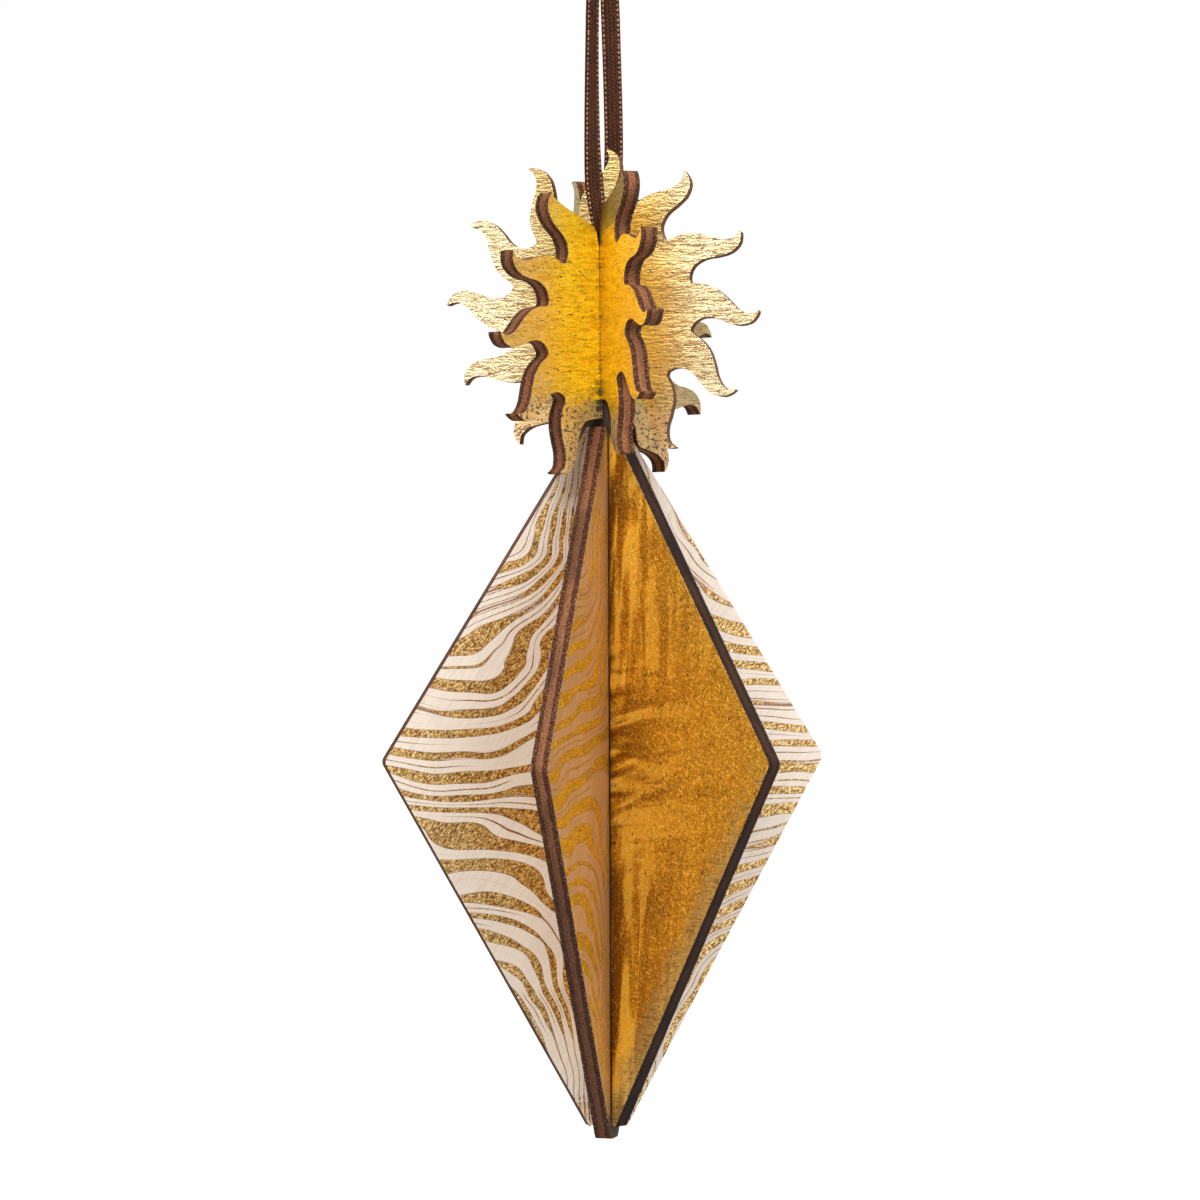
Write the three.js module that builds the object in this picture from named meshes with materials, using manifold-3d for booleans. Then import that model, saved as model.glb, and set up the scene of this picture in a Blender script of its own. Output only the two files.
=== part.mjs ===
// Hanging plywood bauble: a sun of three crossed plates, seated on a diamond of three crossed plates,
// hung on a narrow satin ribbon that passes through the sun's hanging plate.
// Millimetres, +Z up. The origin is the hanging point, inside the top of the ribbon loop, under its knot.
import * as THREE from 'three';
import { mergeVertices } from 'three/addons/utils/BufferGeometryUtils.js';
import Module from 'manifold-3d';

const wasm = await Module();
wasm.setup();

// Sheet, fit, and the angle from plate to plate
const plyThickness = 2.9;
const clearance = 0.3;
const plateStep = 60;

// Diamond plate, measured from its waist, the widest level
const diamondHalfWidth = 38.9;
const diamondRise = 62;
const diamondDrop = 68.7;
const diamondUpperSplit = 17;
const diamondLowerSplit = -23;
const waistRadius = 1;
const bottomEndHalf = 2.1;
const bottomEndRadius = 0.8;
const upperProngGap = 1.5;
const lowerProngEnd = 0.5;
// Hand-fitted play: two of the diamond plates stand this far off even steps
const diamondPlay = 1;

// Tab on top of one diamond plate, glued into the notch of the sun's seat plate
const tabHalf = 2.4;
const tabHeight = 3.1;
const diamondTurn = 26.5;

// Sun plate, measured from its own centre
const rayCount = 12;
const rayTipRadius = 27.3;
const valleyRadius = 16;
const archRadius = 14.4;
const archHalf = 6.4;
const archSideDrop = 0.9;
const mouthFlareWidth = 3;
const mouthFlareHeight = 4.2;
const pointsPerRay = 34;

// How far the middle and the seat plate of the sun sit below the hanging plate, and where the slots meet
const middlePlateDrop = 1.2;
const seatPlateDrop = 4.5;
const sunUpperSplit = 3.8;
const sunLowerSplit = -5.2;

// Ribbon, its hole in the hanging plate, and its knot
const holeHeight = 11.2;
const holeRadius = 2;
const ribbonWidth = 3.2;
const ribbonThickness = 0.5;
const hangHeight = 62;
const knotRadius = 3.2;
const knotHeight = 5.6;
const knotSides = 20;

// One ray, in shares of its length and of the pitch: up its left side, over its tip, down its right side
const rayLeftSide = [[0.2, -0.39], [0.36, -0.28], [0.52, -0.11], [0.68, 0.05], [0.86, 0.11]];
const rayTip = [[0.97, 0.075], [1, 0.055], [0.985, 0.105]];
const rayRightSide = [[0.9, 0.21], [0.72, 0.27], [0.52, 0.25], [0.33, 0.2], [0.15, 0.22], [0.05, 0.31]];
// The two sides that face a slot mouth, where the ray in the middle is left out
const leftShoulderSide = [[0.9, 0.21], [0.72, 0.27], [0.52, 0.3], [0.32, 0.45]];
const rightShoulderSide = [[0.32, -0.45], [0.48, -0.26], [0.64, -0.1], [0.86, 0.04]];
// Shares below this one are left off the two sides that run into the arch
const archSideLowest = 0.3;
// The arch from its crown outwards: share of its half width, share of its side drop
const archBend = [[0, 0], [0.7, 0.35], [1, 1]];

// The ribbon's route up from the hole: sideways, out from the plate, share of the rise, width, turn of the width
const frontRoute = [
  [-0.2, 0.1, 0.04, 2.5, 8],
  [-0.6, 0.3, 0.1, 2.8, 20],
  [-1, 0.5, 0.18, ribbonWidth, 34],
  [-1.2, 0.65, 0.3, ribbonWidth, 46],
  [-1.3, 0.45, 0.46, ribbonWidth, 54],
  [-1.3, 0.15, 0.64, ribbonWidth, 60],
  [-1.2, -0.2, 0.82, ribbonWidth, 62],
  [-1, -0.7, 1, 2.8, 60],
];
const rearRoute = [
  [0.3, 0.1, 0.04, 2.5, 0],
  [0.8, 0.3, 0.1, 2.8, 3],
  [1.2, 0.5, 0.18, ribbonWidth, 7],
  [1.45, 0.65, 0.3, ribbonWidth, 11],
  [1.4, 0.5, 0.46, ribbonWidth, 11],
  [1.25, 0.15, 0.64, ribbonWidth, 11],
  [1.05, -0.2, 0.82, ribbonWidth, 11],
  [0.8, -0.7, 1, 2.8, 11],
];
// The ribbon's cut ends above the knot: sideways, forwards, up from the knot's top, turn of the width
const tailRoute = [
  [0.9, 0, -1.6, 90],
  [1.6, 0.2, 1.2, 86],
  [3.2, 0.5, 4.2, 80],
  [5.8, 0.9, 6.4, 76],
  [8.8, 1.3, 7.2, 74],
];

// How far a cutter reaches past what it cuts
const margin = 4;
const foilGold = new THREE.Color(0xd9a52c);
const printedWood = new THREE.Color(0xe9d7b4);
const ribbonBrown = new THREE.Color(0x3a1d14);

function radians(degrees) {
  return (degrees * Math.PI) / 180;
}

// Half the slot width that lets a plate pass at a given angle, without clearance
function crossingHalf(angle) {
  const turn = radians(angle);
  return ((plyThickness / 2) * (1 + Math.abs(Math.cos(turn)))) / Math.abs(Math.sin(turn));
}

// Half the slot width that suits every pair of plates in a set
function slotHalfFor(turns) {
  const crossings = turns.flatMap((a, index) => turns.slice(index + 1).map((b) => crossingHalf(b - a)));
  return Math.max(...crossings) + clearance;
}

function solidOf(geometry) {
  const bare = geometry.clone();
  bare.deleteAttribute('normal');
  bare.deleteAttribute('uv');
  const merged = mergeVertices(bare, 1e-4);
  const vertProperties = new Float32Array(merged.attributes.position.array);
  const triVerts = new Uint32Array(merged.index.array);
  return new wasm.Manifold(new wasm.Mesh({ numProp: 3, vertProperties, triVerts }));
}

function geometryOf(solid) {
  const mesh = solid.getMesh();
  const geometry = new THREE.BufferGeometry();
  geometry.setAttribute('position', new THREE.BufferAttribute(new Float32Array(mesh.vertProperties), 3));
  geometry.setIndex(new THREE.BufferAttribute(new Uint32Array(mesh.triVerts), 1));
  geometry.computeVertexNormals();
  return geometry;
}

// A sheet cut to a flat outline, standing upright with its front towards -Y
function sheetOf(shape, thickness) {
  const geometry = new THREE.ExtrudeGeometry(shape, { depth: thickness, bevelEnabled: false, curveSegments: 8 });
  geometry.translate(0, 0, -thickness / 2);
  geometry.rotateX(Math.PI / 2);
  return solidOf(geometry);
}

function cutterOf(shape) {
  return sheetOf(shape, plyThickness + 2 * margin);
}

function outlineOf(points) {
  return new THREE.Shape(points.map(([x, y]) => new THREE.Vector2(x, y)));
}

// A straight-sided outline whose corners are rounded where a corner gives a radius
function roundedOutline(corners) {
  const shape = new THREE.Shape();
  corners.forEach(([x, y, radius = 0], index) => {
    const here = new THREE.Vector2(x, y);
    const before = new THREE.Vector2(...corners.at(index - 1));
    const after = new THREE.Vector2(...corners[(index + 1) % corners.length]);
    const start = before.sub(here).setLength(radius).add(here);
    const end = after.sub(here).setLength(radius).add(here);
    const draw = index === 0 ? 'moveTo' : 'lineTo';
    shape[draw](start.x, start.y);
    if (radius > 0) {
      shape.quadraticCurveTo(here.x, here.y, end.x, end.y);
    }
  });
  return shape;
}

function slotBetween(half, low, high) {
  return outlineOf([[-half, low], [half, low], [half, high], [-half, high]]);
}

// Where the plates stand: turns about the vertical, and heights that the joint of sun and diamond sets

const halfGap = clearance / 2;
const middlePlateTurn = -plateStep;
const seatPlateTurn = -2 * plateStep;
const bottomPlateTurn = plateStep - diamondPlay;
const topPlateTurn = 2 * plateStep + diamondPlay;
const sunSlotHalf = slotHalfFor([0, middlePlateTurn, seatPlateTurn]);
const diamondSlotHalf = slotHalfFor([0, bottomPlateTurn, topPlateTurn]);

const riseAt = (half) => diamondRise * (1 - half / diamondHalfWidth);
const dropAt = (half) => -diamondDrop * (1 - half / diamondHalfWidth);
const halfAtRise = (rise) => diamondHalfWidth * (1 - rise / diamondRise);
const tabTop = riseAt(tabHalf) + tabHeight;
// The tab comes up through the seat plate and ends under the arch of the middle plate
const sunAboveWaist = tabTop + clearance + archRadius + middlePlateDrop;
const seatArch = sunAboveWaist - seatPlateDrop - archRadius;

// Diamond plates

const tabEnd = [[tabHalf, riseAt(tabHalf)], [tabHalf, tabTop], [-tabHalf, tabTop], [-tabHalf, riseAt(tabHalf)]];
// The upper prongs end under the arch of the seat plate
const upperProngTop = seatArch - upperProngGap;
const upperProngHalf = halfAtRise(upperProngTop);
const upperProngs = [[upperProngHalf, upperProngTop], [-upperProngHalf, upperProngTop]];
// The lower prongs are cut square to the outer edge
const lowerProngHalf = diamondSlotHalf + lowerProngEnd;
const lowerProngTip = dropAt(lowerProngHalf);
const lowerProngRoot = lowerProngTip + (lowerProngEnd * diamondHalfWidth) / diamondDrop;
const lowerProngs = [
  [-lowerProngHalf, lowerProngTip],
  [-diamondSlotHalf, lowerProngRoot],
  [diamondSlotHalf, lowerProngRoot],
  [lowerProngHalf, lowerProngTip],
];
const bottomEnd = dropAt(bottomEndHalf);
const bluntEnd = [
  [-bottomEndHalf, bottomEnd, bottomEndRadius],
  [bottomEndHalf, bottomEnd, bottomEndRadius],
];

function diamondPlate(topEnd, lowEnd, slots) {
  const corners = [
    [diamondHalfWidth, 0, waistRadius],
    ...topEnd,
    [-diamondHalfWidth, 0, waistRadius],
    ...lowEnd,
  ];
  let plate = sheetOf(roundedOutline(corners), plyThickness);
  for (const [low, high] of slots) {
    plate = plate.subtract(cutterOf(slotBetween(diamondSlotHalf, low, high)));
  }
  return plate;
}

const aboveDiamond = tabTop + margin;
const belowDiamond = bottomEnd - margin;
const diamondTopPlate = diamondPlate(tabEnd, lowerProngs, [
  [belowDiamond, diamondUpperSplit + halfGap],
]);
const diamondMiddlePlate = diamondPlate(upperProngs, lowerProngs, [
  [diamondUpperSplit - halfGap, aboveDiamond],
  [belowDiamond, diamondLowerSplit + halfGap],
]);
const diamondBottomPlate = diamondPlate(upperProngs, bluntEnd, [
  [diamondLowerSplit - halfGap, aboveDiamond],
]);

// Sun plates

const rayPitch = 360 / rayCount;
const bottomRay = rayCount / 2;

// A point by its share of the ray's length and its place round the sun, clockwise from the top in pitches
function rayPoint(share, place) {
  const radius = valleyRadius + share * (rayTipRadius - valleyRadius);
  const angle = radians(place * rayPitch);
  return [radius * Math.sin(angle), radius * Math.cos(angle)];
}

function archPoints() {
  const rightHalf = archBend.map(([across, drop]) => [across * archHalf, -archRadius - drop * archSideDrop]);
  const leftHalf = rightHalf.slice(1).map(([x, y]) => [-x, y]);
  return [...rightHalf.reverse(), ...leftHalf];
}

// The outline runs clockwise; the bottom ray gives way to an arch, and the top one may give way to a slot mouth
function sunOutline(hasTopRay) {
  const valley = [0, -0.5];
  const aboveArch = ([share]) => share > archSideLowest;
  const points = [];
  for (let index = hasTopRay ? 0 : 1; index < rayCount; index += 1) {
    let leftSide = [valley, ...rayLeftSide];
    let rightSide = rayRightSide;
    if (index === bottomRay) {
      points.push(...archPoints());
      continue;
    }
    if (index === bottomRay - 1) {
      rightSide = rayRightSide.filter(aboveArch);
    }
    if (index === bottomRay + 1) {
      leftSide = rayLeftSide.filter(aboveArch);
    }
    if (index === 1 && !hasTopRay) {
      leftSide = rightShoulderSide;
    }
    if (index === rayCount - 1 && !hasTopRay) {
      rightSide = leftShoulderSide;
    }
    const ray = [...leftSide, ...rayTip, ...rightSide];
    points.push(...ray.map(([share, offset]) => rayPoint(share, index + offset)));
  }
  const corners = points.map(([x, y]) => new THREE.Vector3(x, y, 0));
  const curve = new THREE.CatmullRomCurve3(corners, true, 'centripetal');
  const outline = curve.getSpacedPoints(pointsPerRay * rayCount).slice(0, -1);
  return outlineOf(outline.map(({ x, y }) => [x, y]).reverse());
}

// A slot that is open at the top, with a rounded flare at its mouth
function topSlot(low) {
  const [shoulderShare, shoulderOffset] = rightShoulderSide[0];
  const mouthTop = rayPoint(shoulderShare, 1 + shoulderOffset)[1];
  const flareStart = mouthTop - mouthFlareHeight;
  const flareEnd = sunSlotHalf + mouthFlareWidth;
  const shape = new THREE.Shape();
  shape.moveTo(-sunSlotHalf, low);
  shape.lineTo(sunSlotHalf, low);
  shape.lineTo(sunSlotHalf, flareStart);
  shape.quadraticCurveTo(sunSlotHalf, mouthTop, flareEnd, mouthTop);
  shape.lineTo(flareEnd, mouthTop + margin);
  shape.lineTo(-flareEnd, mouthTop + margin);
  shape.lineTo(-flareEnd, mouthTop);
  shape.quadraticCurveTo(-sunSlotHalf, mouthTop, -sunSlotHalf, flareStart);
  return shape;
}

const belowSun = -rayTipRadius - margin;
const roundHole = new THREE.Shape();
roundHole.absarc(0, holeHeight, holeRadius, 0, 2 * Math.PI);

const sunHangingPlate = sheetOf(sunOutline(true), plyThickness)
  .subtract(cutterOf(slotBetween(sunSlotHalf, belowSun, sunUpperSplit + halfGap)))
  .subtract(cutterOf(roundHole));

const sunMiddlePlate = sheetOf(sunOutline(false), plyThickness)
  .subtract(cutterOf(topSlot(sunUpperSplit - halfGap + middlePlateDrop)))
  .subtract(cutterOf(slotBetween(sunSlotHalf, belowSun, sunLowerSplit + halfGap + middlePlateDrop)));

const notchHalf = crossingHalf(seatPlateTurn - diamondTurn - topPlateTurn) + clearance;
const notchTop = tabTop + clearance - sunAboveWaist + seatPlateDrop;
const sunSeatPlate = sheetOf(sunOutline(false), plyThickness)
  .subtract(cutterOf(topSlot(sunLowerSplit - halfGap + seatPlateDrop)))
  .subtract(cutterOf(slotBetween(notchHalf, belowSun, notchTop)));

// Ribbon

// A flat band through stations, each with its place, its width, and the turn of its width about the vertical
function band(stations) {
  const edge = ribbonThickness / 4;
  const face = ribbonThickness / 2;
  const positions = [];
  const indices = [];
  let sides = 0;
  stations.forEach(({ at, width, turn }, index) => {
    const here = new THREE.Vector3(...at);
    const before = new THREE.Vector3(...stations[Math.max(index - 1, 0)].at);
    const after = new THREE.Vector3(...stations[Math.min(index + 1, stations.length - 1)].at);
    const along = after.sub(before).normalize();
    const across = new THREE.Vector3(Math.cos(radians(turn)), Math.sin(radians(turn)), 0);
    across.addScaledVector(along, -across.dot(along)).normalize();
    const up = new THREE.Vector3().crossVectors(along, across);
    const half = width / 2;
    const flat = half - edge;
    const section = [
      [half, -edge], [half, edge], [flat, face], [-flat, face],
      [-half, edge], [-half, -edge], [-flat, -face], [flat, -face],
    ];
    sides = section.length;
    for (const [side, lift] of section) {
      const point = here.clone().addScaledVector(across, side).addScaledVector(up, lift);
      positions.push(point.x, point.y, point.z);
    }
  });
  const last = (stations.length - 1) * sides;
  for (let ring = 0; ring < last; ring += sides) {
    for (let side = 0; side < sides; side += 1) {
      const a = ring + side;
      const b = ring + ((side + 1) % sides);
      indices.push(a, b, a + sides, b, b + sides, a + sides);
    }
  }
  for (let side = 1; side < sides - 1; side += 1) {
    indices.push(0, side + 1, side);
    indices.push(last, last + side, last + side + 1);
  }
  const geometry = new THREE.BufferGeometry();
  geometry.setAttribute('position', new THREE.Float32BufferAttribute(positions, 3));
  geometry.setIndex(indices);
  geometry.computeVertexNormals();
  return geometry;
}

// The ribbon is gathered to the chord of the hole that it bears on; heights are from the sun's centre
const chordAngle = radians(45);
const bearingRadius = holeRadius - clearance;
const gatheredWidth = 2 * bearingRadius * Math.sin(chordAngle);
const bightHeight = holeHeight + bearingRadius * Math.cos(chordAngle) - ribbonThickness / 2;
const faceOffset = plyThickness / 2 + clearance + ribbonThickness / 2;
const bightBend = [[1, 0], [0.35, 0.1], [0, 0.45]];

function strand(side, route) {
  const inHole = { at: [0, side * halfGap, bightHeight], width: gatheredWidth, turn: 0 };
  const roundEdge = bightBend.map(([inward, rise]) => ({
    at: [0, side * (faceOffset - inward), bightHeight + rise],
    width: gatheredWidth,
    turn: 0,
  }));
  const free = route.map(([x, out, share, width, turn]) => ({
    at: [x, side * (faceOffset + out), bightHeight + share * (hangHeight - bightHeight)],
    width,
    turn,
  }));
  return band([inHole, ...roundEdge, ...free]);
}

// The knot, a rounded lump with a flat underside, and the two cut ends of the ribbon that stand out of it
const knotProfile = [
  [0, 0], [0.75, 0], [0.96, 0.14], [1, 0.4], [0.92, 0.68], [0.68, 0.9], [0.36, 1], [0, 1],
];

function knotLump() {
  const profile = knotProfile.map(([r, z]) => new THREE.Vector2(r * knotRadius, z * knotHeight));
  const lump = new THREE.LatheGeometry(profile, knotSides);
  lump.rotateX(Math.PI / 2);
  lump.translate(0, 0, clearance);
  return solidOf(lump);
}

function tail(side) {
  const top = clearance + knotHeight;
  return solidOf(band(tailRoute.map(([x, y, rise, turn]) => ({
    at: [side * x, side * y, top + rise],
    width: ribbonWidth,
    turn,
  }))));
}

const ribbonKnot = knotLump().add(tail(-1)).add(tail(1));

// Assembly

function pieceOf(name, geometry, color, roughness, metalness) {
  const mesh = new THREE.Mesh(geometry, new THREE.MeshStandardMaterial({ color, roughness, metalness }));
  mesh.name = name;
  return mesh;
}

const bauble = new THREE.Group();

const sun = new THREE.Group();
sun.position.z = -hangHeight;
bauble.add(sun);

const sunPlates = [
  ['sun_hanging_plate', sunHangingPlate, 0, 0],
  ['sun_middle_plate', sunMiddlePlate, middlePlateTurn, middlePlateDrop],
  ['sun_seat_plate', sunSeatPlate, seatPlateTurn, seatPlateDrop],
];
for (const [name, solid, turn, drop] of sunPlates) {
  const plate = pieceOf(name, geometryOf(solid), foilGold, 0.35, 0.9);
  plate.rotation.z = radians(turn);
  plate.position.z = -drop;
  sun.add(plate);
}

const diamond = new THREE.Group();
diamond.position.z = -hangHeight - sunAboveWaist;
diamond.rotation.z = radians(diamondTurn);
bauble.add(diamond);

const diamondPlates = [
  ['diamond_middle_plate', diamondMiddlePlate, 0],
  ['diamond_bottom_plate', diamondBottomPlate, bottomPlateTurn],
  ['diamond_top_plate', diamondTopPlate, topPlateTurn],
];
for (const [name, solid, turn] of diamondPlates) {
  const plate = pieceOf(name, geometryOf(solid), printedWood, 0.55, 0.2);
  plate.rotation.z = radians(turn);
  diamond.add(plate);
}

sun.add(pieceOf('ribbon_front_strand', strand(-1, frontRoute), ribbonBrown, 0.5, 0));
sun.add(pieceOf('ribbon_rear_strand', strand(1, rearRoute), ribbonBrown, 0.5, 0));
bauble.add(pieceOf('ribbon_knot', geometryOf(ribbonKnot), ribbonBrown, 0.5, 0));

export default bauble;
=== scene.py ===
"""Looks of the hanging plywood bauble: foiled and striped plates with charred edges, satin ribbon, studio."""

import math
from collections import namedtuple

import bmesh
import bpy
from mathutils import Matrix, Vector


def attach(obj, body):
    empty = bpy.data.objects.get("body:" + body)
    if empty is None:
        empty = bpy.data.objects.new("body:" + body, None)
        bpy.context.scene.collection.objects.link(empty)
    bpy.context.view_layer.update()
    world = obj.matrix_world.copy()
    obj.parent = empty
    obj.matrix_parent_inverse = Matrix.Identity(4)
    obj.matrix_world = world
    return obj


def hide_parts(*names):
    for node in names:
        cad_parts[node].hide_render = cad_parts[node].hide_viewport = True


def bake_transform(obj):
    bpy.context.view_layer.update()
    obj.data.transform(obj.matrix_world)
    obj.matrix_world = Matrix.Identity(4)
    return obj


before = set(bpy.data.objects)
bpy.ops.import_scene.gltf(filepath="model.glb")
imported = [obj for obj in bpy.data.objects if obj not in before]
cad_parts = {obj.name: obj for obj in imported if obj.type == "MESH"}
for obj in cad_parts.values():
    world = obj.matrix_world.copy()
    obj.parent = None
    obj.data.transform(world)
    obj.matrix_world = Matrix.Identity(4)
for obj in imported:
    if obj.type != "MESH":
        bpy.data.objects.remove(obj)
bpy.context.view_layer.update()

MM = 0.001
PLATE_COORDS = "plate_mm"
RIBBON_COORDS = "ribbon_mm"
SHADER = "Principled BSDF"
WHITE = (1, 1, 1, 1)
scene = bpy.context.scene


# Camera: level, a little to the right of the front

CAMERA_TURN = math.radians(11.6)
CAMERA_ROLL = math.radians(-0.25)
CAMERA_DISTANCE = 635 * MM
CAMERA_HEIGHT = -112 * MM
CAMERA_ASIDE = -0.75 * MM
VIEW_WIDTH = 205.8 * MM
SENSOR_WIDTH = 36
CLIP_START = 0.05
CLIP_END = 50

camera_data = bpy.data.cameras.new("camera")
camera_data.sensor_width = SENSOR_WIDTH
camera_data.lens = SENSOR_WIDTH * CAMERA_DISTANCE / VIEW_WIDTH
camera_data.clip_start = CLIP_START
camera_data.clip_end = CLIP_END
camera = bpy.data.objects.new("camera", camera_data)
camera.matrix_world = (
    Matrix.Rotation(CAMERA_TURN, 4, "Z")
    @ Matrix.Translation((CAMERA_ASIDE, -CAMERA_DISTANCE, CAMERA_HEIGHT))
    @ Matrix.Rotation(math.radians(90), 4, "X")
    @ Matrix.Rotation(CAMERA_ROLL, 4, "Z")
)
scene.collection.objects.link(camera)
scene.camera = camera


# Node building blocks


class Nodes:
    """Short calls for the nodes of one tree; a value is a number, a colour or another node's output."""

    def __init__(self, tree):
        self.tree = tree

    def feed(self, socket, value):
        if isinstance(value, bpy.types.NodeSocket):
            self.tree.links.new(value, socket)
        else:
            socket.default_value = value

    def add(self, kind, inputs, output=0, **settings):
        made = self.tree.nodes.new(kind)
        for key, value in settings.items():
            setattr(made, key, value)
        for key, value in inputs.items():
            self.feed(made.inputs[key], value)
        return made.outputs[output]

    def fill(self, name, inputs):
        """Sets the inputs of a node that is there already."""
        for key, value in inputs.items():
            self.feed(self.tree.nodes[name].inputs[key], value)

    def split(self, vector):
        made = self.tree.nodes.new("ShaderNodeSeparateXYZ")
        self.feed(made.inputs[0], vector)
        return made.outputs

    def math(self, operation, *values):
        return self.add("ShaderNodeMath", dict(enumerate(values)), operation=operation)

    def plus(self, a, b):
        return self.math("ADD", a, b)

    def minus(self, a, b):
        return self.math("SUBTRACT", a, b)

    def times(self, a, b):
        return self.math("MULTIPLY", a, b)

    def most(self, a, b):
        return self.math("MAXIMUM", a, b)

    def size(self, value):
        return self.math("ABSOLUTE", value)

    def square(self, value):
        return self.math("POWER", value, 2)

    def wave(self, value, length):
        return self.math("SINE", self.times(value, 2 * math.pi / length))

    def fading(self, value, reach):
        """1 where the value is 0, and less the larger it is."""
        return self.math("EXPONENT", self.times(value, -1 / reach))

    def slide(self, value, low, high, to_low=0.0, to_high=1.0, bend="LINEAR"):
        """The value carried over from one range to another, and held at the ends."""
        return self.add(
            "ShaderNodeMapRange",
            {
                "Value": value,
                "From Min": low,
                "From Max": high,
                "To Min": to_low,
                "To Max": to_high,
            },
            interpolation_type=bend,
        )

    def step(self, value, low, high, to_low=0.0, to_high=1.0):
        """The same, eased at both ends."""
        return self.slide(value, low, high, to_low, to_high, "SMOOTHSTEP")

    def blend(self, share, a, b):
        """A number between a and b."""
        return self.add("ShaderNodeMix", {0: share, 2: a, 3: b})

    def mix(self, share, a, b):
        """A colour between a and b."""
        a, b = ((*value, 1) if isinstance(value, tuple) else value for value in (a, b))
        return self.add("ShaderNodeMix", {0: share, 6: a, 7: b}, 2, data_type="RGBA")


class Look(Nodes):
    """A material in the making; x, y and z are the piece's own coordinates in mm."""

    def __init__(self, name, coords):
        self.material = bpy.data.materials.new(name)
        self.material.use_nodes = True
        super().__init__(self.material.node_tree)
        self.coords = self.add("ShaderNodeAttribute", {}, "Vector", attribute_name=coords)
        self.x, self.y, self.z = self.split(self.coords)

    def noise(self, vector, scale=1.0, detail=2.0, roughness=0.5, distortion=0.0):
        return self.add(
            "ShaderNodeTexNoise",
            {
                "Vector": vector,
                "Scale": scale,
                "Detail": detail,
                "Roughness": roughness,
                "Distortion": distortion,
            },
            "Fac",
        )

    def cloud(self, stretch, turn=0.0, shift=(0, 0, 0), **grain):
        """Noise on the piece's own coordinates, turned in the plate's plane and then stretched, per mm."""
        turned = self.add(
            "ShaderNodeVectorRotate",
            {"Vector": self.coords, "Angle": math.radians(turn)},
            rotation_type="Y_AXIS",
        )
        where = self.add("ShaderNodeMapping", {"Vector": turned, "Location": shift, "Scale": stretch})
        return self.noise(where, **grain)

    def ramp(self, value, stops):
        made = self.tree.nodes.new("ShaderNodeValToRGB")
        self.feed(made.inputs[0], value)
        elements = made.color_ramp.elements
        while len(elements) < len(stops):
            elements.new(0.5)
        for element, (position, colour) in zip(elements, stops):
            element.position = position
            element.color = (*colour, 1)
        return made.outputs["Color"]

    def bump(self, height, depth_mm):
        inputs = {"Height": height, "Strength": 1.0, "Distance": depth_mm * MM}
        return self.add("ShaderNodeBump", inputs, "Normal")

    def finish(self, inputs):
        self.fill(SHADER, inputs)
        return self.material


# Colours of the plates, linear

# A foil: near the axis, far from it, its shade colour (painted shade in the dips of its skin and along the
# axis, and a random darker tone), how far it is bare metal, and how far painted shade gathers along the axis
Foil = namedtuple("Foil", "inner outer shade metal gathered")
# These are tinted copies of one gold foil: their colours near and far from the axis, and which face gets
# which, paint the shade and the reflected gold light that each face of the sun gets, most of all in the wedge
# between the middle and seat plates
SOFT_FOIL = Foil((0.52, 0.365, 0.135), (0.92, 0.70, 0.41), (0.35, 0.22, 0.08), 1.0, 0.0)
WARM_FOIL = Foil((0.92, 0.67, 0.15), (0.92, 0.70, 0.38), (0.56, 0.34, 0.08), 1.0, 0.0)
RICH_FOIL = Foil((1.0, 0.89, 0.14), (0.94, 0.69, 0.30), (0.78, 0.50, 0.05), 0.9, 0.0)
DEEP_FOIL = Foil((0.92, 0.66, 0.025), (0.89, 0.61, 0.20), (0.65, 0.35, 0.012), 0.9, 0.8)
BACK_FOIL = Foil((0.93, 0.55, 0.05), (0.85, 0.50, 0.05), (0.37, 0.145, 0.006), 0.7, 0.0)
# These two end at the axis, with the warm foil on the other half of the face; their own halves face into that
# wedge and paint its reflected gold and shade
HALF_FACE_FOILS = (RICH_FOIL, DEEP_FOIL)
# Painted highlights on the diamonds' gold backs: gleam on folds near the axis, a painted reflection of the
# next plate's gold, and glints on the peaks of the skin
FOIL_GLEAM = (1.0, 0.56, 0.045)
FOIL_GLINT = (1.0, 0.78, 0.25)
FOIL_SCUFF = (0.46, 0.32, 0.13)
# Painted shade in the folds near the axis
FOIL_FOLD_SHADE = (0.30, 0.11, 0.008)
FOIL_DULL = (0.80, 0.50, 0.23)
FOIL_CRACK = (0.11, 0.06, 0.025)
# Scorched wood, also used to paint the shadow under the sun's arch and the shade in the seam along the axis
SCORCH_AND_SHADOW = (0.060, 0.030, 0.017)

# A birch with its stripes: pale and dark wood, flakes of foil from dark to bright, how far these are metal
Birch = namedtuple("Birch", "pale dark flakes metal")
PALE_BIRCH = Birch(
    (0.79, 0.70, 0.61),
    (0.71, 0.61, 0.51),
    ((0.20, 0.095, 0.045), (0.48, 0.26, 0.08), (0.82, 0.56, 0.20), (1.0, 0.86, 0.54)),
    0.95,
)
# The bottom plate's front: the birch painted darker and amber for the gold light that the top plate's foil
# throws on it in the shade
GOLD_LIT_BIRCH = Birch(
    (0.52, 0.265, 0.105),
    (0.39, 0.195, 0.068),
    ((0.33, 0.155, 0.02), (0.60, 0.31, 0.022), (0.80, 0.44, 0.033), (1.0, 0.64, 0.09)),
    0.5,
)
FLAKE_STOPS = (0.40, 0.48, 0.55, 0.65)
STRIPE_OUTLINE = (0.30, 0.15, 0.09)

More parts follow.
